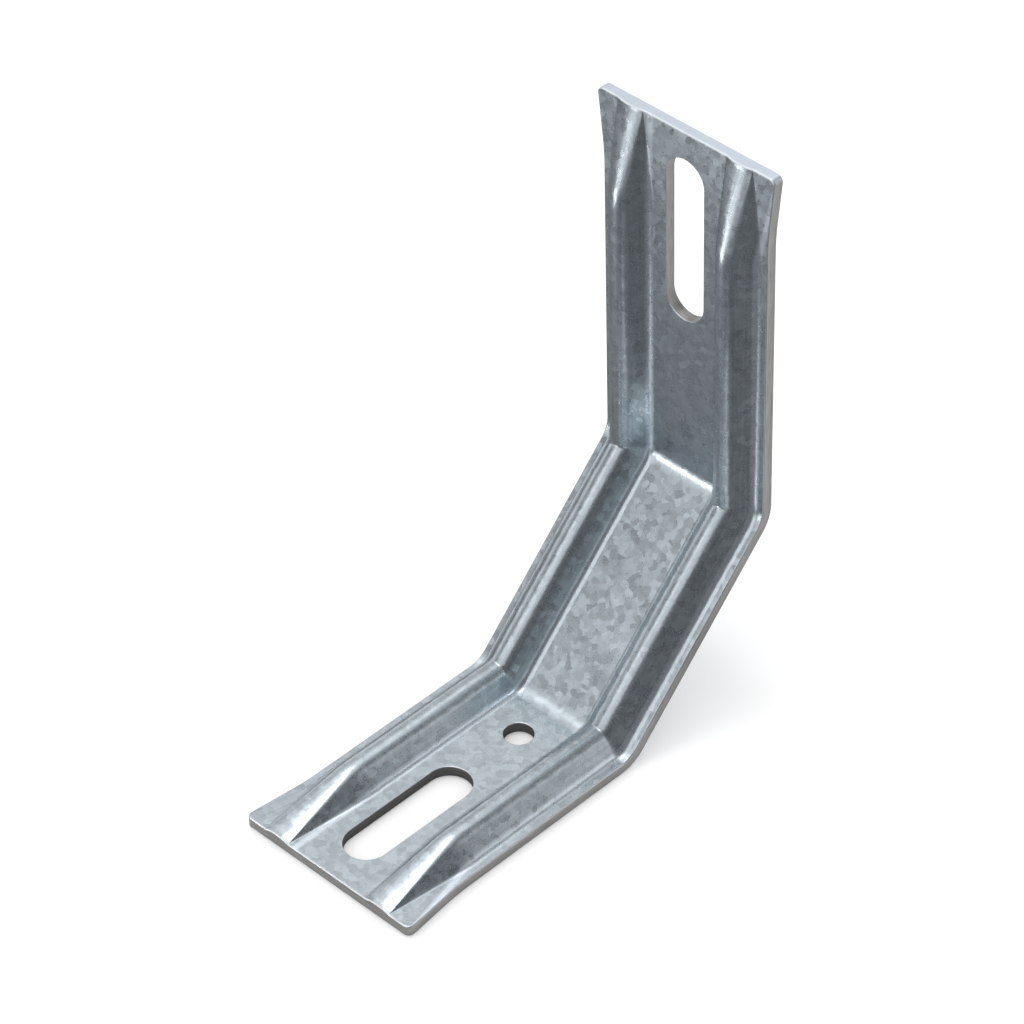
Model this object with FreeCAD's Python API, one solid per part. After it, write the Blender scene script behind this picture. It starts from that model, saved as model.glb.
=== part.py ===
import FreeCAD, Part
import os
from math import acos, atan2, cos, hypot, radians, sin, tan

# Window frame fixing bracket, pressed and folded from one strip of galvanised steel sheet.
# Millimetres. +X runs across the strip, the lower leg points along -Y and the upper leg along +Z.
# The origin is on the outer face of the upper leg, at the centre of its slot.

# Sheet and strip: a flat web in the middle, a rib on each side of it and a narrow flange outside each rib
SHEET = 2.2
WEB_WIDTH = 13.7
RIB_WIDTH = 10.75
FLANGE_WIDTH = 1.0

# Each free end is wider by this much on each side
END_FLARE = 1.4
FLARE_LENGTH = 13.0
FLARE_RADIUS = 55.0
CORNER_RADIUS = 1.2

# Lengths on the inner face, between the free ends and the lines where the flats would meet
LOWER_LEG = 55.3
MIDDLE_FLAT = 47.3
UPPER_LEG = 72.7
FOLD_ANGLE = 45.0
CREST_FOLD_RADIUS = 3.0

# Pressed ribs. The groove radius is that of the hollow behind the crest
RIB_HEIGHT = 4.5
RIB_FOOT_RADIUS = 1.5
GROOVE_RADIUS = 0.8

# Each rib fades out towards a free end, where its crest widens, and leaves a faint swell up to the edge
RUNOUT_LENGTH = 17.5
SWELL_LENGTH = 1.5
SWELL_WIDTH = 6.2
SWELL_HEIGHT = 0.35
SWELL_WALL_ANGLE = 25.0
SWELL_CREST_RADIUS = 1.0
SWELL_FOOT_RADIUS = 0.5

# The middle of a crest is the part that slopes less than this to each side
CREST_TURN = 5.0

# Slots and hole
SLOT_WIDTH = 8.5
LOWER_SLOT_LENGTH = 28.0
LOWER_SLOT_FROM_END = 19.5
UPPER_SLOT_LENGTH = 33.3
UPPER_SLOT_FROM_END = 22.2
HOLE_DIAMETER = 5.5
HOLE_FROM_FOLD = 8.8

# Bevels that break the cut edges of the strip and of its openings
OUTLINE_BEVEL = 0.4
OPENING_BEVEL = 0.2

# A cutter stands this far clear of the sheet
CUTTER_CLEARANCE = 2.0

# Faces meet squarely when the cosine between their normals is below this
SQUARE_LIMIT = 0.1

# Points nearer to each other than this are one point
TOUCHING = 1e-6

ACROSS = FreeCAD.Vector(1, 0, 0)
crest_radius = GROOVE_RADIUS + SHEET
rib_offset = (WEB_WIDTH + RIB_WIDTH) / 2
strip_half = WEB_WIDTH / 2 + RIB_WIDTH + FLANGE_WIDTH
fold_radius = CREST_FOLD_RADIUS + RIB_HEIGHT
fold_setback = fold_radius * tan(radians(FOLD_ANGLE / 2))


class Flat:
    """A straight stretch of the strip: where it starts, where it runs and which side is inner."""

    def __init__(self, origin, along, normal):
        self.origin = origin
        self.along = along
        self.normal = normal

    def point(self, distance, across, height):
        return self.origin + self.along * distance + ACROSS * across + self.normal * height


def make_flats():
    turn = radians(FOLD_ANGLE)
    upper_fold = FreeCAD.Vector(0, -SHEET, UPPER_SLOT_FROM_END - UPPER_LEG)
    slope = FreeCAD.Vector(0, cos(turn), sin(turn))
    lower_fold = upper_fold - slope * MIDDLE_FLAT
    lower = Flat(lower_fold, FreeCAD.Vector(0, -1, 0), FreeCAD.Vector(0, 0, 1))
    middle = Flat(lower_fold, slope, FreeCAD.Vector(0, -sin(turn), cos(turn)))
    upper = Flat(upper_fold, FreeCAD.Vector(0, -cos(2 * turn), sin(2 * turn)),
                 FreeCAD.Vector(0, -sin(2 * turn), cos(2 * turn)))
    return lower, middle, upper


def closed_wire(edges):
    return Part.Wire(Part.__sortEdges__(edges))


def line(first, last):
    return Part.LineSegment(first, last).toShape()


def wall_angle(width, height):
    """Slope of the straight wall that joins the foot arc to the crest arc."""
    radii = crest_radius + RIB_FOOT_RADIUS
    drop = radii - height
    return atan2(width / 2, drop) - acos(radii / hypot(width / 2, drop))


# A rib's section is its width, its height, its wall's slope, and the radii of its crest's sides and feet
full_rib = (RIB_WIDTH, RIB_HEIGHT, wall_angle(RIB_WIDTH, RIB_HEIGHT), crest_radius, RIB_FOOT_RADIUS)
swell = (SWELL_WIDTH, SWELL_HEIGHT, radians(SWELL_WALL_ANGLE), SWELL_CREST_RADIUS, SWELL_FOOT_RADIUS)


def arc_points(centre, radius, turns):
    """Points of an arc as (across, up), at these turns from straight above its centre."""
    across, up = centre
    return [(across + radius * sin(turn), up + radius * cos(turn)) for turn in turns]


def between(first, last):
    return (first, (first + last) / 2, last)


def inner_arcs(width, height, wall, crest, foot):
    """Foot, side of the crest, middle of the crest, its other side and the other foot."""
    turn = radians(CREST_TURN)
    spread = width / 2 * sin(wall) - height * cos(wall)
    spread -= crest * (1 - cos(wall - turn)) + foot * (1 - cos(wall))
    middle = spread / (cos(wall - turn) - cos(wall))
    aside = (middle - crest) * sin(turn)
    below = height - middle + (middle - crest) * cos(turn)
    return [
        arc_points((-width / 2, foot), -foot, between(0, -wall)),
        arc_points((-aside, below), crest, between(-wall, -turn)),
        arc_points((0, height - middle), middle, between(-turn, turn)),
        arc_points((aside, below), crest, between(turn, wall)),
        arc_points((width / 2, foot), -foot, between(wall, 0)),
    ]


def outer_arcs(width, height):
    """Foot, crest and foot of the groove behind a rib."""
    wall = wall_angle(width, height)
    foot = RIB_FOOT_RADIUS + SHEET
    crest = (0, height - crest_radius)
    return [
        arc_points((-width / 2, RIB_FOOT_RADIUS), -foot, between(0, -wall)),
        arc_points(crest, GROOVE_RADIUS, between(-wall, wall)),
        arc_points((width / 2, RIB_FOOT_RADIUS), -foot, between(wall, 0)),
    ]


def profile_edges(arcs, put):
    """Edges of the arcs and of the straight lines between those that don't touch."""
    edges = []
    for index, arc in enumerate(arcs):
        start, middle, end = [put(*point) for point in arc]
        if index and not start.isEqual(last, TOUCHING):
            edges.append(line(last, start))
        edges.append(Part.Arc(start, middle, end).toShape())
        last = end
    return edges


def rib_edges(place, centre, section):
    """Inner and outer edges of one rib."""

    def put(across, up):
        return place(centre + across, up)

    width, height = section[:2]
    return profile_edges(inner_arcs(*section), put) + profile_edges(outer_arcs(width, height), put)


def ribbed_section(flat, distance):
    """Closed outline of the whole ribbed strip, square to the flat."""

    def place(across, level):
        return flat.point(distance, across, level)

    inner = WEB_WIDTH / 2
    outer = inner + RIB_WIDTH
    flats = [(-strip_half, -outer), (-inner, inner), (outer, strip_half)]
    edges = [line(place(side, 0), place(side, -SHEET)) for side in (-strip_half, strip_half)]
    for first, last in flats:
        edges += [line(place(first, -depth), place(last, -depth)) for depth in (0, SHEET)]
    for centre in (-rib_offset, rib_offset):
        edges += rib_edges(place, centre, full_rib)
    return closed_wire(edges)


def rib_section(flat, centre, station):
    """Closed outline of one rib from foot to foot, square to the flat."""
    distance, section = station
    half = section[0] / 2

    def place(across, level):
        return flat.point(distance, across, level)

    sides = [line(place(foot, 0), place(foot, -SHEET)) for foot in (centre - half, centre + half)]
    return closed_wire(sides + rib_edges(place, centre, section))


def rounded_wire(corners, radii):
    """Closed outline through the corners, each rounded with its own radius."""
    arcs = []
    ends = []
    for index, radius in enumerate(radii):
        corner = corners[index]
        back = (corners[index - 1] - corner).normalize()
        ahead = (corners[(index + 1) % len(corners)] - corner).normalize()
        if radius == 0:
            ends.append((corner, corner))
            continue
        half = back.getAngle(ahead) / 2
        setback = radius / tan(half)
        inward = (back + ahead).normalize()
        middle = corner + inward * (radius / sin(half) - radius)
        start = corner + back * setback
        end = corner + ahead * setback
        arcs.append(Part.Arc(start, middle, end).toShape())
        ends.append((start, end))
    sides = [line(ends[index - 1][1], ends[index][0]) for index in range(len(ends))]
    return closed_wire(sides + arcs)


def through_cut(flat, wire):
    """Solid through the whole sheet, from a wire drawn below its outer face."""
    return Part.Face(wire).extrude(flat.normal * (SHEET + 2 * CUTTER_CLEARANCE))


def leg_plate(flat, length):
    """Flat plate with parallel sides, a flare and rounded end corners."""
    side = [
        (fold_setback, strip_half, 0),
        (length - FLARE_LENGTH, strip_half, FLARE_RADIUS),
        (length, strip_half + END_FLARE, CORNER_RADIUS),
    ]
    corners = [flat.point(distance, across, -SHEET) for distance, across, _ in side]
    corners += [flat.point(distance, -across, -SHEET) for distance, across, _ in reversed(side)]
    radii = [radius for _, _, radius in side]
    return Part.Face(rounded_wire(corners, radii + radii[::-1])).extrude(flat.normal * SHEET)


def rib_stations(length):
    """Distance and section where a leg's rib starts, starts to fade, has faded and ends."""
    return [
        (fold_setback, full_rib),
        (length - RUNOUT_LENGTH, full_rib),
        (length - SWELL_LENGTH, swell),
        (length, swell),
    ]


def rib_pieces(flat, length, centre):
    """The full rib, its run-out and the faint swell up to the edge."""
    start, fade, faded, end = rib_stations(length)
    faint = rib_section(flat, centre, faded)
    return [
        Part.Face(rib_section(flat, centre, start)).extrude(flat.along * (fade[0] - start[0])),
        Part.makeLoft([rib_section(flat, centre, fade), faint], True, True),
        Part.Face(faint).extrude(flat.along * (end[0] - faded[0])),
    ]


def rib_footprint(flat, length, centre):
    """Gap that a rib takes in the flat plate."""
    below = -SHEET - CUTTER_CLEARANCE
    stations = rib_stations(length)
    left = [flat.point(distance, centre - section[0] / 2, below) for distance, section in stations]
    right = [flat.point(distance, centre + section[0] / 2, below) for distance, section in stations]
    return through_cut(flat, Part.makePolygon(left + right[::-1] + left[:1]))


def make_leg(flat, length):
    """One leg from its fold to its free end, with the ribs fading out near the end."""
    centres = (-rib_offset, rib_offset)
    plate = leg_plate(flat, length).cut([rib_footprint(flat, length, centre) for centre in centres])
    return plate.fuse([piece for centre in centres for piece in rib_pieces(flat, length, centre)])


def make_middle(flat):
    wire = ribbed_section(flat, fold_setback)
    return Part.Face(wire).extrude(flat.along * (MIDDLE_FLAT - 2 * fold_setback))


def make_fold(flat, direction):
    """Bend of the ribbed strip about an axis on its inner side."""
    face = Part.Face(ribbed_section(flat, fold_setback))
    axis_point = flat.point(fold_setback, 0, fold_radius)
    return face.revolve(axis_point, ACROSS * direction, FOLD_ANGLE)


def slot_cutter(flat, centre, length, width):
    radius = width / 2
    reach = length / 2 - radius
    below = -SHEET - CUTTER_CLEARANCE

    def place(distance, across):
        return flat.point(centre + distance, across, below)

    near = Part.Arc(place(-reach, -radius), place(-reach - radius, 0), place(-reach, radius)).toShape()
    far = Part.Arc(place(reach, -radius), place(reach + radius, 0), place(reach, radius)).toShape()
    sides = [line(place(-reach, side), place(reach, side)) for side in (-radius, radius)]
    return through_cut(flat, closed_wire([near, far] + sides))


def hole_cutter(flat, centre, diameter):
    circle = Part.Circle(flat.point(centre, 0, -SHEET - CUTTER_CLEARANCE), flat.normal, diameter / 2)
    return through_cut(flat, Part.Wire(circle.toShape()))


def face_normal(face, point):
    return face.normalAt(*face.Surface.parameter(point))


def square_edges(shape):
    """Edges where a cut face meets an inner or outer face of the sheet squarely."""
    found = []
    for edge in shape.Edges:
        faces = shape.ancestorsOfType(edge, Part.Face)
        if len(faces) != 2:
            continue
        point = edge.valueAt((edge.FirstParameter + edge.LastParameter) / 2)
        first, second = [face_normal(face, point) for face in faces]
        if abs(first.dot(second)) < SQUARE_LIMIT:
            found.append(edge)
    return found


def make_bracket():
    lower, middle, upper = make_flats()
    pieces = [
        make_fold(lower, 1),
        make_middle(middle),
        make_fold(upper, -1),
        make_leg(upper, UPPER_LEG),
    ]
    sheet = make_leg(lower, LOWER_LEG).fuse(pieces).removeSplitter()
    sheet = sheet.makeChamfer(OUTLINE_BEVEL, square_edges(sheet))
    lower_slot = LOWER_LEG - LOWER_SLOT_FROM_END
    upper_slot = UPPER_LEG - UPPER_SLOT_FROM_END
    sheet = sheet.cut([
        slot_cutter(lower, lower_slot, LOWER_SLOT_LENGTH, SLOT_WIDTH),
        hole_cutter(lower, HOLE_FROM_FOLD, HOLE_DIAMETER),
        slot_cutter(upper, upper_slot, UPPER_SLOT_LENGTH, SLOT_WIDTH),
    ])
    return sheet.makeChamfer(OPENING_BEVEL, square_edges(sheet))


bracket = make_bracket()
os.makedirs("parts", exist_ok=True)
bracket.exportStep("parts/bracket.step")
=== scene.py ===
import math

import bmesh
import bpy
from mathutils import Matrix, Vector, geometry


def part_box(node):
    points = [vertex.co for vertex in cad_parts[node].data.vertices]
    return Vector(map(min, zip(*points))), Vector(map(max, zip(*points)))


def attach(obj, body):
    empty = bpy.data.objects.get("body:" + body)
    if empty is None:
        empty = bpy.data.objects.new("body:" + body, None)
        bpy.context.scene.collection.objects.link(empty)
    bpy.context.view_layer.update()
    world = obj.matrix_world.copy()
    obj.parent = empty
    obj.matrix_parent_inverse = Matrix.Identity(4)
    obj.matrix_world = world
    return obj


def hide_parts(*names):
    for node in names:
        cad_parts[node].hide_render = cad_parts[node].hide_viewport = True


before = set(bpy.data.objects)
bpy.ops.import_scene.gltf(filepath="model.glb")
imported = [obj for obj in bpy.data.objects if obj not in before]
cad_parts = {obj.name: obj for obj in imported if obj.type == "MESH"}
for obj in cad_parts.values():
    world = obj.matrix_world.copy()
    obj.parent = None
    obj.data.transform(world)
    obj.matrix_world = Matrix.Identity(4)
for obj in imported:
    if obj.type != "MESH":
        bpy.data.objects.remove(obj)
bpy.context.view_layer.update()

MM = 0.001

# Window frame fixing bracket, folded from one ribbed strip of galvanised sheet. Sizes in millimetres.
SHEET = 2.2
WEB_WIDTH = 13.7
FLANGE_WIDTH = 1.0
END_FLARE = 1.4
FLARE_LENGTH = 13.0
FLARE_BLEND = 2.9
CORNER_RADIUS = 1.2
CUT_EDGE_RADIUS = 0.3
OPENING_EDGE_RADIUS = 0.18

LOWER_LEG = 55.3
MIDDLE_FLAT = 47.3
UPPER_LEG = 72.7
FOLD_ANGLE = math.radians(45)
CREST_FOLD_RADIUS = 0.8

RIB_WIDTH = 10.75
RIB_HEIGHT = 4.5
CREST_RADIUS = 3.0
FOOT_RADIUS = 1.5
GROOVE_RADIUS = CREST_RADIUS - SHEET
CREST_TURN = math.radians(16)

# Where a rib has faded out, its crest is wide and only a faint swell is left
SWELL_WIDTH = 6.0
SWELL_HEIGHT = 0.45
SWELL_WALL_ANGLE = math.radians(20)
SWELL_CREST_RADIUS = 1.0
SWELL_FOOT_RADIUS = 0.5
RUNOUT_LENGTH = 17.5
SWELL_LENGTH = 0.5
TIP_BLEND = 2.0
SWELL_BLEND = 0.5

# An opening is its middle's distance from the lower end along the strip, its length and its width
SLOT_WIDTH = 8.5
LOWER_SLOT_FROM_END = 19.5
LOWER_SLOT_LENGTH = 28.0
UPPER_SLOT_FROM_END = 22.2
UPPER_SLOT_LENGTH = 33.3
HOLE_DIAMETER = 5.5
HOLE_FROM_FOLD = 8.8

# Zinc and cut steel
DARK_ZINC = (0.355, 0.395, 0.42)
LIGHT_ZINC = (0.60, 0.675, 0.73)
# Painted highlight for the lines in the feet of the ribs
FOOT_HIGHLIGHT_COLOUR = (0.84, 0.92, 1.0)
DARK_CUT = (0.205, 0.203, 0.20)
LIGHT_CUT = (0.405, 0.40, 0.392)
# Painted light on the upper end's cut, which faces up
UPPER_END_PAINTED_LIGHT = (0.60, 0.66, 0.73)
# Painted highlight on the rounded rims
RIM_HIGHLIGHT_COLOUR = (0.86, 0.89, 0.92)

# Spangle: how fine each layer is, and how much it adds to the tone between dark and light zinc
BEND_SCALE = 0.8
BORDER_BEND = 0.9
CRYSTAL_SCALE = 0.8
CRYSTAL_SMOOTHNESS = 0.15
CRYSTAL_TONE = 0.36
CRYSTAL_TILT = 0.045
CHIP_SCALE = 1.3
CHIP_TONE = 0.14
CLOUD_SCALE = 0.12
CLOUD_TONE = 0.46
GRAIN_SCALE = 3.0
BASE_TONE = 0.03

# Lines and marks are noise stretched across the strip, along it and through it. Lines begin at a rib's foot
LINE_STRETCH = (2.2, 0.05, 0.0)
LINE_START = -0.5
LINE_FULL = 1.5
LINE_RELIEF = 0.6
MARK_STRETCH = (0.25, 0.25, 2.4)
MARK_TONE = 0.15
CUT_FADE = 0.4
# Strength of the painted highlight on the rounded rims
RIM_HIGHLIGHT_STRENGTH = 3.2

# Painted highlight lines in the feet: their middles along the inner face from the strip's middle, and half
# widths
FOOT_HIGHLIGHT_INSIDE = 7.95
FOOT_HIGHLIGHT_OUTSIDE = 20.55
FOOT_HIGHLIGHT_CORE = 0.3
FOOT_HIGHLIGHT_REACH = 0.9
FOOT_HIGHLIGHT_SHARE = 0.8

ROUGHNESS = 0.21
CRYSTAL_ROUGHNESS = 0.08
GRAIN_ROUGHNESS = 0.08
CUT_ROUGHNESS = 0.15
BUMP_STRENGTH = 0.12
BUMP_DEPTH = 0.05

# Studio, in metres: the floor lies just under the bracket and the low cards just over the floor
FLOOR_GAP = 0.0001
FLOOR_SIZE = 6
FLOOR_COLOUR = (0.9, 0.9, 0.9)
FLOOR_LIFT = 0.15
CARD_GAP = 0.0005
UNDER_GAP = 0.00005
LAMP_GAP = 0.003
MATT = 0.9
CARD_COLOURS = {
    "dark_card": (0.13, 0.13, 0.135),
    "dim_card": (0.20, 0.20, 0.205),
    "grey_card": (0.27, 0.27, 0.275),
    "light_grey_card": (0.55, 0.55, 0.55),
}

# How finely the mesh follows the forms
CREST_STEPS = 3
ARC_STEPS = 7
WALL_STEPS = 3
WEB_STEPS = 6
FLANGE_STEPS = 3
FOLD_STEPS = 16
CORNER_STEPS = 6
EDGE_STEPS = 4
FINE_STEP = 0.5
COARSE_STEP = 2.5
OPENING_STEPS = 24
SLOPE_PROBE = 0.01
TOUCHING = 1e-6

# How the triangulation treats its borders: only what lies inside the outer one is kept
KEEP_INSIDE = 1

# Places of the colour sockets on a mix node
MIX_FIRST = 6
MIX_SECOND = 7
MIX_RESULT = 2

RIGHT = Vector((1, 0, 0))
fold_radius = CREST_FOLD_RADIUS + RIB_HEIGHT
fold_setback = fold_radius * math.tan(FOLD_ANGLE / 2)
fold_length = fold_radius * FOLD_ANGLE
rib_offset = (WEB_WIDTH + RIB_WIDTH) / 2
strip_half = WEB_WIDTH / 2 + RIB_WIDTH + FLANGE_WIDTH
flare_slope = END_FLARE / FLARE_LENGTH
stretches = [
    (LOWER_LEG - fold_setback, 0),
    (fold_length, FOLD_ANGLE),
    (MIDDLE_FLAT - 2 * fold_setback, 0),
    (fold_length, FOLD_ANGLE),
    (UPPER_LEG - fold_setback, 0),
]
total_length = sum(length for length, _ in stretches)
lower_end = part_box("bracket")[0] / MM


def place(travel):
    """Height-zero point, heading and curvature of the inner face at this distance from the lower end."""
    y, z = lower_end.y, lower_end.z + SHEET
    heading = 0.0
    for length, turn in stretches:
        step = min(travel, length)
        curvature = turn / length
        if turn:
            ahead = heading + curvature * step
            y += (math.sin(ahead) - math.sin(heading)) / curvature
            z += (math.cos(heading) - math.cos(ahead)) / curvature
            heading = ahead
        else:
            y += step * math.cos(heading)
            z += step * math.sin(heading)
        travel -= length
        if travel <= 0:
            break
    return y, z, heading, curvature


def ramp(distance, blend):
    """Zero below zero and the distance itself above it, rounded over the blend at the corner."""
    if distance <= -blend:
        return 0.0
    if distance >= blend:
        return distance
    return (distance + blend) ** 2 / (4 * blend)


def from_end(travel):
    return min(travel, total_length - travel)


def rib_share(travel):
    """1 where the rib is full, down to 0 where only the faint swell is left."""
    end = from_end(travel)
    fading = RUNOUT_LENGTH - SWELL_LENGTH
    return (ramp(end - SWELL_LENGTH, SWELL_BLEND) - ramp(end - RUNOUT_LENGTH, TIP_BLEND)) / fading


def strip_edge(travel):
    """Half the strip's width, before its end corners are rounded."""
    return strip_half + flare_slope * ramp(FLARE_LENGTH - from_end(travel), FLARE_BLEND)


def wall_angle(width, height):
    """Slope of the straight wall that joins the foot arc to the crest arc."""
    radii = CREST_RADIUS + FOOT_RADIUS
    return math.atan2(width / 2, radii - height) - math.acos(radii / math.hypot(width / 2, radii - height))


def arc_samples(centre, radius, first, last, steps):
    """Across, up and their changes over the arc, at turns from straight above its centre."""
    sweep = radius * (last - first)
    samples = []
    for step in range(steps + 1):
        turn = first + (last - first) * step / steps
        samples.append((centre[0] + radius * math.sin(turn), centre[1] + radius * math.cos(turn),
                        sweep * math.cos(turn), -sweep * math.sin(turn)))
    return samples


def whole_profile(middle, side, foot):
    """Samples from foot to foot of a rib whose right half has these arcs and a straight wall."""
    run, rise = foot[0][0] - side[-1][0], foot[0][1] - side[-1][1]
    wall = []
    for step in range(1, WALL_STEPS):
        share = step / WALL_STEPS
        wall.append((side[-1][0] + run * share, side[-1][1] + rise * share, run, rise))
    right = middle + side[1:] + wall + foot
    left = [(-across, up, run, -rise) for across, up, run, rise in reversed(right[1:])]
    return left + right


def inner_profile(width, height, wall, crest, foot):
    spread_out = width / 2 * math.sin(wall) - height * math.cos(wall)
    spread_out -= crest * (1 - math.cos(wall - CREST_TURN)) + foot * (1 - math.cos(wall))
    middle = spread_out / (math.cos(wall - CREST_TURN) - math.cos(wall))
    aside = (middle - crest) * math.sin(CREST_TURN)
    below = height - middle + (middle - crest) * math.cos(CREST_TURN)
    return whole_profile(arc_samples((0, height - middle), middle, 0, CREST_TURN, CREST_STEPS),
                         arc_samples((aside, below), crest, CREST_TURN, wall, ARC_STEPS),
                         arc_samples((width / 2, foot), -foot, wall, 0, ARC_STEPS))


def groove_profile(wall):
    """The outer face of a full rib."""
    crest = (0, RIB_HEIGHT - CREST_RADIUS)
    foot = (RIB_WIDTH / 2, FOOT_RADIUS)
    return whole_profile(arc_samples(crest, GROOVE_RADIUS, 0, CREST_TURN, CREST_STEPS),
                         arc_samples(crest, GROOVE_RADIUS, CREST_TURN, wall, ARC_STEPS),
                         arc_samples(foot, -FOOT_RADIUS - SHEET, wall, 0, ARC_STEPS))


full_wall = wall_angle(RIB_WIDTH, RIB_HEIGHT)
inner_ribs = (
    inner_profile(RIB_WIDTH, RIB_HEIGHT, full_wall, CREST_RADIUS, FOOT_RADIUS),
    inner_profile(SWELL_WIDTH, SWELL_HEIGHT, SWELL_WALL_ANGLE, SWELL_CREST_RADIUS, SWELL_FOOT_RADIUS),
)
outer_swell = [(across, -SHEET, run, 0.0) for across, _, run, _ in inner_ribs[1]]
outer_ribs = (groove_profile(full_wall), outer_swell)
rib_columns = len(inner_ribs[0])


class Sheet:
    """Vertices and faces of the sheet. An inner vertex is followed by the outer one behind it."""

    def __init__(self):
        self.points = []
        self.normals = []
        self.strip = []
        self.cut = []
        self.faces = []

    def add(self, point, normal, strip, cut):
        self.points.append(point)
        self.normals.append(normal)
        self.strip.append(strip)
        self.cut.append(cut)
        return len(self.points) - 1

    def add_pair(self, inner, outer, across, travel):
        """An inner and an outer vertex, each given as its point and normal."""
        vertex = self.add(*inner, (across, travel, 0.0), 0.0)
        self.add(*outer, (across, travel, SHEET), 0.0)
        return vertex

    def cover(self, corners):
        """One face on the inner side and its twin on the outer side."""
        self.faces.append(list(corners))
        self.faces.append([corner + 1 for corner in reversed(corners)])

    def close_edge(self, loop, outs, radius):
        """Rounded cut edge from the inner face to the outer face, round a closed loop."""
        rings = [loop]
        steps = [step / EDGE_STEPS for step in range(1, EDGE_STEPS + 1)]
        sides = [(share, 1) for share in steps] + [(share, -1) for share in reversed(steps)]
        for share, side in sides:
            turn = share * math.pi / 2
            sink = radius * (1 - math.cos(turn))
            ring = []
            for start, out in zip(loop, outs):
                up = self.points[start] - self.points[start + 1]
                depth = sink if side > 0 else up.length - sink
                up.normalize()
                point = self.points[start] + out * (radius * math.sin(turn)) - up * depth
                normal = up * (side * math.cos(turn)) + out * math.sin(turn)
                across, travel, _ = self.strip[start]
                ring.append(self.add(point, normal, (across, travel, depth), math.sin(turn) ** 2))
            rings.append(ring)
        rings.append([start + 1 for start in loop])
        for above, below in zip(rings, rings[1:]):
            for index in range(len(loop)):
                after = (index + 1) % len(loop)
                self.faces.append([above[index], above[after], below[after], below[index]])


def spread(first, last, step):
    """Values after the first and up to the last, about one step apart."""
    count = max(1, round((last - first) / step))
    return [first + (last - first) * index / count for index in range(1, count + 1)]


def end_rows():
    """Distance from the free end, edge and corner turn of the rows across a rounded end."""
    inset = CORNER_RADIUS - CUT_EDGE_RADIUS
    middle = strip_half + END_FLARE - CORNER_RADIUS * (flare_slope + math.hypot(1, flare_slope))
    rows = []
    for step in range(CORNER_STEPS + 1):
        turn = math.pi / 2 * (1 - step / CORNER_STEPS)
        rows.append((CORNER_RADIUS - inset * math.sin(turn), middle + inset * math.cos(turn), turn))
    return rows


def make_rows():
    """Travel, edge and corner turn of every row, from the lower end to the upper end."""
    bounds = [0.0]
    for length, _ in stretches:
        bounds.append(bounds[-1] + length)
    tip = RUNOUT_LENGTH + TIP_BLEND
    travels = spread(CORNER_RADIUS, tip, FINE_STEP) + spread(tip, bounds[1], COARSE_STEP)
    travels += spread(bounds[1], bounds[2], fold_length / FOLD_STEPS)
    travels += spread(bounds[2], bounds[3], COARSE_STEP)
    travels += spread(bounds[3], bounds[4], fold_length / FOLD_STEPS)
    travels += spread(bounds[4], total_length - tip, COARSE_STEP)
    travels += spread(total_length - tip, total_length - CORNER_RADIUS, FINE_STEP)[:-1]
    rows = end_rows()
    rows += [(travel, strip_edge(travel) - CUT_EDGE_RADIUS, 0.0) for travel in travels]
    rows += [(total_length - end, edge, turn) for end, edge, turn in reversed(end_rows())]
    return rows, bounds


def side_columns(travel, edge, ribs, level):
    """Across, up, run, rise and the changes of across and up along the strip, for each column."""
    share = rib_share(travel)
    slope = (rib_share(travel + SLOPE_PROBE) - rib_share(travel - SLOPE_PROBE)) / (2 * SLOPE_PROBE)
    rib = []
    for full, faded in zip(*ribs):
        mixed = [share * a + (1 - share) * b for a, b in zip(full, faded)]
        rib.append(mixed + [slope * (full[0] - faded[0]), slope * (full[1] - faded[1])])
    foot = rib_offset + rib[-1][0]
    inner = rib_offset + rib[0][0]

    def flat(across):
        return [across, level, 1.0, 0.0, 0.0, 0.0]

    def ribbed(centre):
        return [[centre + column[0]] + column[1:] for column in rib]

    flange = [foot + (edge - foot) * step / FLANGE_STEPS for step in range(1, FLANGE_STEPS + 1)]
    web = [inner * (2 * step / WEB_STEPS - 1) for step in range(1, WEB_STEPS)]
    columns = [flat(-across) for across in reversed(flange)] + ribbed(-rib_offset)
    columns += [flat(across) for across in web] + ribbed(rib_offset)
    return columns + [flat(across) for across in flange]


def directions(heading):
    """Along the strip and out of its inner face."""
    along = Vector((0, math.cos(heading), math.sin(heading)))
    return along, Vector((0, -math.sin(heading), math.cos(heading)))


def add_row(sheet, travel, edge):
    y, z, heading, curvature = place(travel)
    along, up = directions(heading)

    def surface(column, side):
        across, height, run, rise, shift, climb = column
        pace = 1 - curvature * height
        normal = RIGHT * (-rise * pace) + along * (rise * shift - run * climb) + up * (run * pace)
        return Vector((across, y, z)) + up * height, normal.normalized() * side

    inner = side_columns(travel, edge, inner_ribs, 0.0)
    outer = side_columns(travel, edge, outer_ribs, -SHEET)
    lengths = [0.0]
    for first, second in zip(inner, inner[1:]):
        lengths.append(lengths[-1] + math.hypot(second[0] - first[0], second[1] - first[1]))
    ids = []
    for length, near, far in zip(lengths, inner, outer):
        ids.append(sheet.add_pair(surface(near, 1), surface(far, -1), length - lengths[-1] / 2, travel))
    return ids


def rim_radius(width):
    """From an opening's middle to where the flat face gives way to the rounded rim."""
    return width / 2 + OPENING_EDGE_RADIUS


def opening_outline(middle, length, width):
    """Points and inward directions round an opening with round ends, with a rounded rim left free."""
    radius = rim_radius(width)
    reach = (length - width) / 2
    outline = []
    for side in (1, -1):
        for step in range(OPENING_STEPS + (1 if reach else 0)):
            turn = math.pi * step / OPENING_STEPS
            across, along = math.cos(turn) * side, math.sin(turn) * side
            outline.append(((across * radius, middle + side * reach + along * radius), (-across, -along)))
    return outline


def inside(point, opening):
    middle, length, width = opening
    reach = (length - width) / 2
    beyond = max(0.0, abs(point[1] - middle) - reach)
    return math.hypot(point[0], beyond) < rim_radius(width)


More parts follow.
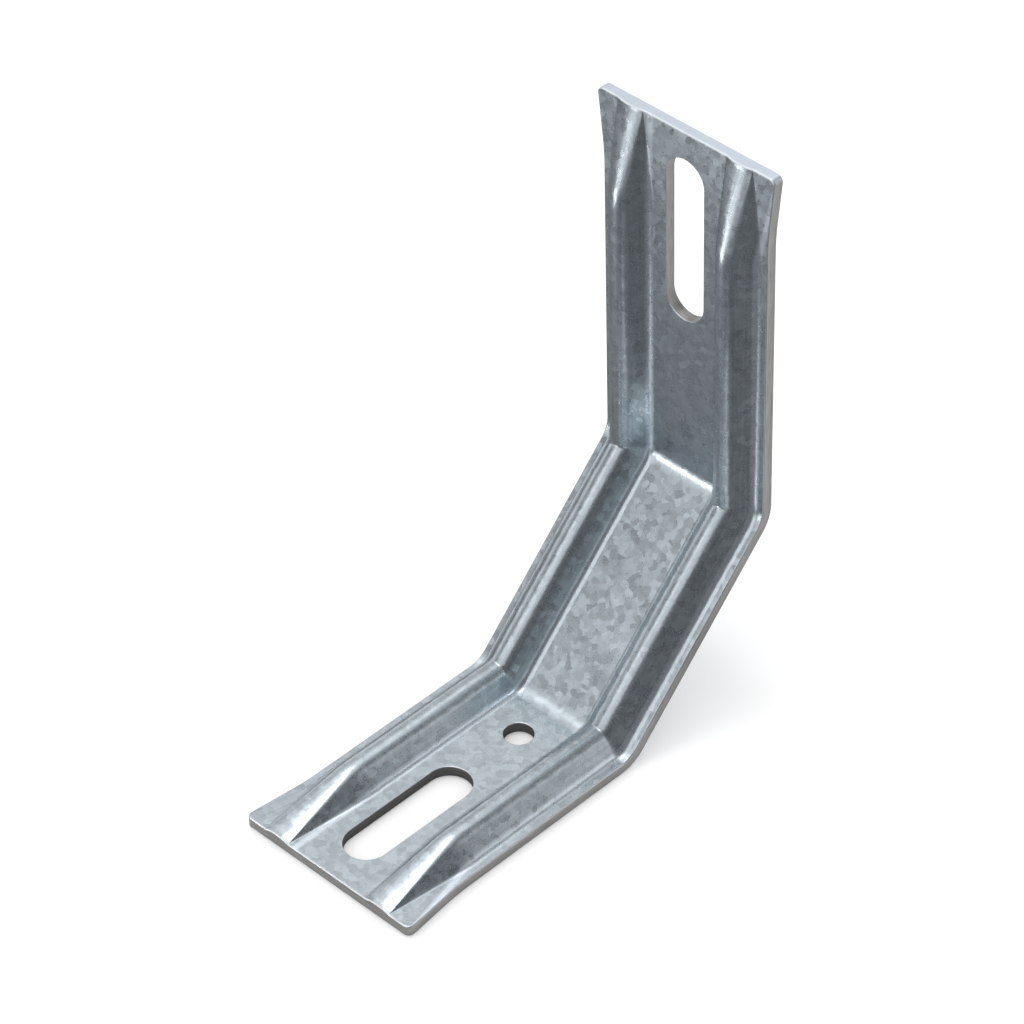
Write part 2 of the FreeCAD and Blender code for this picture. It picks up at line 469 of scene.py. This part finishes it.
def cover_web(sheet, grid, first, last, left, right, openings):
    """Flat web of a leg between two rows, with its openings left free."""
    border = [grid[row][left] for row in range(first, last + 1)]
    border += [grid[last][column] for column in range(left + 1, right)]
    border += [grid[row][right] for row in range(last, first - 1, -1)]
    border += [grid[first][column] for column in range(right - 1, left, -1)]
    ids = list(border)
    loops = [list(range(len(border)))]
    rims = []
    for opening in openings:
        loop, outs = [], []
        for (across, travel), (inward_x, inward_along) in opening_outline(*opening):
            y, z, heading, _ = place(travel)
            along, up = directions(heading)
            point = Vector((across, y, z))
            loop.append(sheet.add_pair((point, up), (point - up * SHEET, -up), across, travel))
            outs.append(RIGHT * inward_x + along * inward_along)
        rims.append((loop, outs))
        loops.append(list(range(len(ids), len(ids) + len(loop))))
        ids += loop
    flat = [Vector((sheet.points[vertex].x, sheet.strip[vertex][1])) for vertex in ids]
    edges = [(loop[index - 1], loop[index]) for loop in loops for index in range(len(loop))]
    points, _, faces, origins, _, _ = geometry.delaunay_2d_cdt(flat, edges, [], KEEP_INSIDE, TOUCHING)
    for face in faces:
        middle = sum((points[corner] for corner in face), Vector((0, 0))) / len(face)
        if not any(inside(middle, opening) for opening in openings):
            sheet.cover([ids[origins[corner][0]] for corner in face])
    for loop, outs in rims:
        sheet.close_edge(loop, outs, OPENING_EDGE_RADIUS)


def outer_loop(grid, rows):
    """Vertices round the strip's outline and the direction out of the strip at each."""
    last_row, last_column = len(grid) - 1, len(grid[0]) - 1
    places = [(0, column) for column in range(last_column + 1)]
    places += [(row, last_column) for row in range(1, last_row + 1)]
    places += [(last_row, column) for column in range(last_column - 1, -1, -1)]
    places += [(row, 0) for row in range(last_row - 1, 0, -1)]
    loop, outs = [], []
    for row, column in places:
        travel, _, turn = rows[row]
        along, _ = directions(place(travel)[2])
        side = {0: -1, last_column: 1}.get(column, 0)
        end = -1 if travel < total_length / 2 else 1
        outs.append(RIGHT * (side * math.cos(turn)) + along * (end * math.sin(turn)))
        loop.append(grid[row][column])
    return loop, outs


def build_sheet():
    sheet = Sheet()
    rows, bounds = make_rows()
    grid = [add_row(sheet, travel, edge) for travel, edge, _ in rows]
    left = FLANGE_STEPS + rib_columns - 1
    right = left + WEB_STEPS
    first_fold = min(range(len(rows)), key=lambda row: abs(rows[row][0] - bounds[1]))
    last_fold = min(range(len(rows)), key=lambda row: abs(rows[row][0] - bounds[4]))
    for row in range(len(rows) - 1):
        for column in range(len(grid[0]) - 1):
            if left <= column < right and not first_fold <= row < last_fold:
                continue
            sheet.cover([grid[row][column], grid[row][column + 1],
                         grid[row + 1][column + 1], grid[row + 1][column]])
    lower_slot = (LOWER_SLOT_FROM_END, LOWER_SLOT_LENGTH, SLOT_WIDTH)
    hole = (LOWER_LEG - HOLE_FROM_FOLD, HOLE_DIAMETER, HOLE_DIAMETER)
    upper_slot = (total_length - UPPER_SLOT_FROM_END, UPPER_SLOT_LENGTH, SLOT_WIDTH)
    cover_web(sheet, grid, 0, first_fold, left, right, [lower_slot, hole])
    cover_web(sheet, grid, last_fold, len(rows) - 1, left, right, [upper_slot])
    sheet.close_edge(*outer_loop(grid, rows), CUT_EDGE_RADIUS)
    return sheet


def make_sheet_piece():
    sheet = build_sheet()
    used = sorted({corner for face in sheet.faces for corner in face})
    order = {vertex: index for index, vertex in enumerate(used)}
    mesh = bpy.data.meshes.new("ribbed_sheet")
    faces = [[order[corner] for corner in face] for face in sheet.faces]
    mesh.from_pydata([sheet.points[vertex] * MM for vertex in used], [], faces)
    strip = mesh.attributes.new("strip", "FLOAT_VECTOR", "POINT")
    strip.data.foreach_set("vector", [value for vertex in used for value in sheet.strip[vertex]])
    cut = mesh.attributes.new("cut", "FLOAT", "POINT")
    cut.data.foreach_set("value", [sheet.cut[vertex] for vertex in used])
    form = bmesh.new()
    form.from_mesh(mesh)
    bmesh.ops.recalc_face_normals(form, faces=form.faces)
    form.to_mesh(mesh)
    form.free()
    mesh.shade_smooth()
    mesh.normals_split_custom_set_from_vertices([sheet.normals[vertex] for vertex in used])
    piece = bpy.data.objects.new("ribbed_sheet", mesh)
    bpy.context.scene.collection.objects.link(piece)
    return piece


def add_node(tree, kind, values=(), **settings):
    """A shader node with its settings and, by socket, its values or the outputs that feed it."""
    made = tree.nodes.new(kind)
    for name, value in settings.items():
        setattr(made, name, value)
    for socket, value in dict(values).items():
        if isinstance(value, bpy.types.NodeSocket):
            tree.links.new(value, made.inputs[socket])
        else:
            made.inputs[socket].default_value = value
    return made


def new_material(name):
    material = bpy.data.materials.new(name)
    material.use_nodes = True
    material.node_tree.nodes.clear()
    return material, material.node_tree


def finish_material(tree, shader):
    add_node(tree, "ShaderNodeOutputMaterial", {"Surface": shader.outputs["BSDF"]})


def galvanised_steel():
    material, tree = new_material("galvanised_steel")

    def node(kind, values=(), **settings):
        return add_node(tree, kind, values, **settings)

    def math_node(operation, *values):
        return node("ShaderNodeMath", dict(enumerate(values)), operation=operation).outputs[0]

    def vector_node(operation, *values):
        return node("ShaderNodeVectorMath", dict(enumerate(values)), operation=operation).outputs[0]

    def noise(place, scale, detail):
        return node("ShaderNodeTexNoise", {"Vector": place, "Scale": scale, "Detail": detail}).outputs

    def ranged(value, zero, one):
        """0 where the value is at the first limit and 1 where it is at the second."""
        limits = {"Value": value, "From Min": zero, "From Max": one}
        return node("ShaderNodeMapRange", limits).outputs["Result"]

    def channels(colour):
        return node("ShaderNodeSeparateColor", {"Color": colour}).outputs

    def mixed(factor, *colours):
        """From the first colour at 0 to the second at 1. A colour is three numbers or a socket."""
        values = [colour if isinstance(colour, bpy.types.NodeSocket) else (*colour, 1)
                  for colour in colours]
        inputs = {"Factor": factor, MIX_FIRST: values[0], MIX_SECOND: values[1]}
        return node("ShaderNodeMix", inputs, data_type="RGBA").outputs[MIX_RESULT]

    place_metres = node("ShaderNodeTexCoord").outputs["Object"]
    place_mm = vector_node("MULTIPLY", place_metres, (1 / MM, 1 / MM, 1 / MM))
    strip = node("ShaderNodeAttribute", attribute_name="strip").outputs["Vector"]
    across, travel, depth = node("ShaderNodeSeparateXYZ", {"Vector": strip}).outputs
    cut = node("ShaderNodeAttribute", attribute_name="cut").outputs["Fac"]

    # Spangle: crystals of zinc with slightly bent borders, each a little lighter or darker and tilted
    bend = noise(place_mm, BEND_SCALE, 2.0)["Color"]
    bent = vector_node("MULTIPLY_ADD", bend, (BORDER_BEND, BORDER_BEND, BORDER_BEND), place_mm)
    crystal = {"Vector": bent, "Scale": CRYSTAL_SCALE, "Smoothness": CRYSTAL_SMOOTHNESS}
    crystals = node("ShaderNodeTexVoronoi", crystal, feature="SMOOTH_F1").outputs["Color"]
    chips = node("ShaderNodeTexVoronoi", {"Vector": bent, "Scale": CHIP_SCALE}).outputs["Color"]
    clouds = noise(place_mm, CLOUD_SCALE, 3.0)["Fac"]
    grain = noise(place_mm, GRAIN_SCALE, 4.0)["Fac"]

    # Fine lines that pressing left along the ribs
    lines = noise(vector_node("MULTIPLY", strip, LINE_STRETCH), 1.0, 3.0)["Fac"]
    foot = WEB_WIDTH / 2
    on_ribs = ranged(math_node("ABSOLUTE", across), foot + LINE_START, foot + LINE_FULL)
    line_tone = math_node("MULTIPLY", math_node("SUBTRACT", lines, 0.5), on_ribs)

    tone = math_node("MULTIPLY_ADD", channels(crystals)[0], CRYSTAL_TONE, BASE_TONE)
    tone = math_node("MULTIPLY_ADD", channels(chips)[0], CHIP_TONE, tone)
    tone = math_node("MULTIPLY_ADD", clouds, CLOUD_TONE, tone)
    zinc = mixed(math_node("ADD", tone, line_tone), DARK_ZINC, LIGHT_ZINC)

    # Painted highlights in the feet that face the right, inside the left rib and outside the right one
    foot_highlights = 0.0
    for middle in (-FOOT_HIGHLIGHT_INSIDE, FOOT_HIGHLIGHT_OUTSIDE):
        aside = math_node("ABSOLUTE", math_node("SUBTRACT", across, middle))
        foot_highlights = math_node("MAXIMUM", foot_highlights, ranged(aside, FOOT_HIGHLIGHT_REACH, FOOT_HIGHLIGHT_CORE))
    faces = mixed(math_node("MULTIPLY", foot_highlights, FOOT_HIGHLIGHT_SHARE), zinc, FOOT_HIGHLIGHT_COLOUR)

    # Cut edges: duller, with marks through the thickness, darker towards the outer face. The upper end's
    # cut, which faces up, gets painted light as bright as the faces
    marks = noise(vector_node("MULTIPLY", strip, MARK_STRETCH), 1.0, 3.0)["Fac"]
    shade = math_node("MULTIPLY_ADD", depth, -CUT_FADE / SHEET, math_node("ADD", marks, MARK_TONE))
    painted_light_upper_end = ranged(travel, total_length - CORNER_RADIUS, total_length - CORNER_RADIUS / 2)
    edges = mixed(painted_light_upper_end, mixed(shade, DARK_CUT, LIGHT_CUT), UPPER_END_PAINTED_LIGHT)

    # The rounded rim between a face and a cut edge gets a painted highlight
    rim_highlight = math_node("MULTIPLY", cut, math_node("SUBTRACT", 1.0, cut))
    colour = mixed(math_node("MULTIPLY", rim_highlight, RIM_HIGHLIGHT_STRENGTH), mixed(cut, faces, edges), RIM_HIGHLIGHT_COLOUR)

    rough = math_node("MULTIPLY_ADD", channels(crystals)[1], CRYSTAL_ROUGHNESS, ROUGHNESS)
    rough = math_node("MULTIPLY_ADD", grain, GRAIN_ROUGHNESS, rough)
    rough = math_node("MULTIPLY_ADD", cut, CUT_ROUGHNESS, rough)

    lean = vector_node("SUBTRACT", crystals, (0.5, 0.5, 0.5))
    normal = node("ShaderNodeNewGeometry").outputs["Normal"]
    tilted = vector_node("MULTIPLY_ADD", lean, (CRYSTAL_TILT, CRYSTAL_TILT, CRYSTAL_TILT), normal)
    relief = math_node("MULTIPLY_ADD", line_tone, LINE_RELIEF, grain)
    bump = node("ShaderNodeBump", {"Height": relief, "Normal": vector_node("NORMALIZE", tilted),
                                   "Strength": BUMP_STRENGTH, "Distance": BUMP_DEPTH * MM})
    shader = node("ShaderNodeBsdfPrincipled", {"Base Color": colour, "Metallic": 1.0,
                                               "Roughness": rough, "Normal": bump.outputs["Normal"]})
    finish_material(tree, shader)
    return material


def plain_material(name, colour):
    material, tree = new_material(name)
    shader = add_node(tree, "ShaderNodeBsdfPrincipled", {"Base Color": (*colour, 1), "Roughness": MATT})
    finish_material(tree, shader)
    return material


def pale_floor():
    """Pale, and lifted a little where the camera sees it, which lights nothing else."""
    material, tree = new_material("pale_floor")
    seen = add_node(tree, "ShaderNodeLightPath").outputs["Is Camera Ray"]
    lift = add_node(tree, "ShaderNodeMath", {0: seen, 1: FLOOR_LIFT}, operation="MULTIPLY").outputs[0]
    shader = add_node(tree, "ShaderNodeBsdfPrincipled", {
        "Base Color": (*FLOOR_COLOUR, 1), "Roughness": MATT,
        "Emission Color": (1, 1, 1, 1), "Emission Strength": lift})
    finish_material(tree, shader)
    return material


def set_up(position, z_axis):
    """Matrix of an object at this position with its Z axis turned this way."""
    return Matrix.Translation(position) @ z_axis.to_track_quat("Z", "Y").to_matrix().to_4x4()


def add_panel(name, centre, facing, size, material):
    """Flat rectangle of the studio, square to the direction it faces."""
    mesh = bpy.data.meshes.new(name)
    wide, high = size[0] / 2, size[1] / 2
    corners = [(-wide, -high, 0), (wide, -high, 0), (wide, high, 0), (-wide, high, 0)]
    mesh.from_pydata(corners, [], [(0, 1, 2, 3)])
    mesh.materials.append(material)
    panel = bpy.data.objects.new(name, mesh)
    panel.matrix_world = set_up(centre, Vector(facing))
    bpy.context.scene.collection.objects.link(panel)
    return panel


def add_softbox(name, position, aim, size, watts):
    light = bpy.data.lights.new(name, "AREA")
    light.shape = "RECTANGLE"
    light.size, light.size_y = size
    light.energy = watts
    lamp = bpy.data.objects.new(name, light)
    lamp.visible_camera = False
    lamp.matrix_world = set_up(position, Vector(position) - Vector(aim))
    bpy.context.scene.collection.objects.link(lamp)


def make_world():
    """White on every side."""
    world = bpy.data.worlds.new("studio")
    world.use_nodes = True
    tree = world.node_tree
    tree.nodes.clear()
    sky = add_node(tree, "ShaderNodeBackground", {"Color": (1, 1, 1, 1), "Strength": 1.0})
    add_node(tree, "ShaderNodeOutputWorld", {"Surface": sky.outputs["Background"]})
    bpy.context.scene.world = world


def make_studio():
    floor_z = lower_end.z * MM - FLOOR_GAP
    card_z = floor_z + CARD_GAP
    lamp_z = floor_z + LAMP_GAP
    up = (0, 0, 1)
    add_panel("floor", (0, 0, floor_z), up, (FLOOR_SIZE, FLOOR_SIZE), pale_floor())

    # Cards that only the bracket mirrors: name, centre, the way it faces, size and material
    materials = {name: plain_material(name, colour) for name, colour in CARD_COLOURS.items()}
    cards = [
        ("card_right", (0.45, -0.35, floor_z + 0.55), (-1, 0, 0), (1.1, 2.7), "dark_card"),
        ("card_left", (-0.84, -0.62, 0.52), (0.84, 0.62, -0.52), (0.7, 0.5), "grey_card"),
        ("card_side", (-0.89, 0.41, 0.50), (0.89, -0.41, -0.50), (0.7, 0.45), "light_grey_card"),
        ("card_back", (0.55, 0.75, 1.05), (-0.55, -0.75, -1.05), (0.8, 0.8), "grey_card"),
        ("floor_left", (-0.3105, -0.25, card_z), up, (0.579, 0.70), "dim_card"),
        ("floor_front", (0.007, -0.3463, card_z), up, (0.056, 0.5075), "dark_card"),
        ("floor_under", (0, -0.0615, floor_z + UNDER_GAP), up, (0.036, 0.058), "grey_card"),
        ("floor_right", (0.3175, -0.30, card_z), up, (0.565, 0.60), "dark_card"),
    ]
    for name, centre, facing, size, material in cards:
        card = add_panel(name, centre, facing, size, materials[material])
        card.visible_camera = False
        card.visible_diffuse = False
        card.visible_shadow = False

    # Lamps: name, position, what it points at, size and watts
    lamps = [
        ("key", (-0.74, -0.17, 1.2), (0, 0, 0), (0.5, 0.5), 0.55),
        ("top", (-0.15, 0.9, 1.2), (0, 0, 0), (0.8, 0.6), 0.6),
        ("front", (-0.5, -1.01, 0.82), (0, 0, 0), (0.6, 0.4), 0.38),
        ("overhead", (-0.24, 0.06, 1.2), (0, -0.05, 0), (0.36, 0.36), 2.2),
        ("low_near", (-0.1, -0.18, lamp_z), (0, 0, 0), (0.04, 0.04), 0.05),
        ("low_far", (-0.13, -0.27, lamp_z), (0, 0, 0), (0.1, 0.1), 0.03),
    ]
    for lamp in lamps:
        add_softbox(*lamp)
    make_world()


# Camera, fitted to the photograph: where it looks from, how far it is and how it is rolled
CAMERA_AZIMUTH = math.radians(45.5726)
CAMERA_ELEVATION = math.radians(40.4419)
CAMERA_ROLL = math.radians(-1.6919)
CAMERA_DISTANCE = 809.4349
CAMERA_ASIDE = 7.3256
CAMERA_BELOW = -34.4091
FOCAL_PIXELS = 4621.11
IMAGE_PIXELS = 1024
SENSOR = 36.0
LOWER_FOLD = (0.0, lower_end.y + LOWER_LEG, lower_end.z + SHEET)


def make_camera():
    azimuth, elevation = CAMERA_AZIMUTH, CAMERA_ELEVATION
    back = Vector((math.sin(azimuth) * math.cos(elevation), -math.cos(azimuth) * math.cos(elevation),
                   math.sin(elevation)))
    level = Vector((math.cos(azimuth), math.sin(azimuth), 0))
    upright = back.cross(level)
    right = level * math.cos(CAMERA_ROLL) + upright * math.sin(CAMERA_ROLL)
    up = upright * math.cos(CAMERA_ROLL) - level * math.sin(CAMERA_ROLL)
    position = Vector(LOWER_FOLD) - right * CAMERA_ASIDE - up * CAMERA_BELOW + back * CAMERA_DISTANCE
    data = bpy.data.cameras.new("camera")
    data.sensor_width = SENSOR
    data.lens = FOCAL_PIXELS * SENSOR / IMAGE_PIXELS
    data.clip_start = 0.01
    data.clip_end = 20.0
    camera = bpy.data.objects.new("camera", data)
    turned = Matrix((right, up, back)).transposed().to_4x4()
    camera.matrix_world = Matrix.Translation(position * MM) @ turned
    bpy.context.scene.collection.objects.link(camera)
    bpy.context.scene.camera = camera


bracket = make_sheet_piece()
bracket.data.materials.append(galvanised_steel())
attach(bracket, "root")
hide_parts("bracket")

make_studio()
make_camera()
bpy.context.scene.view_settings.view_transform = "Standard"
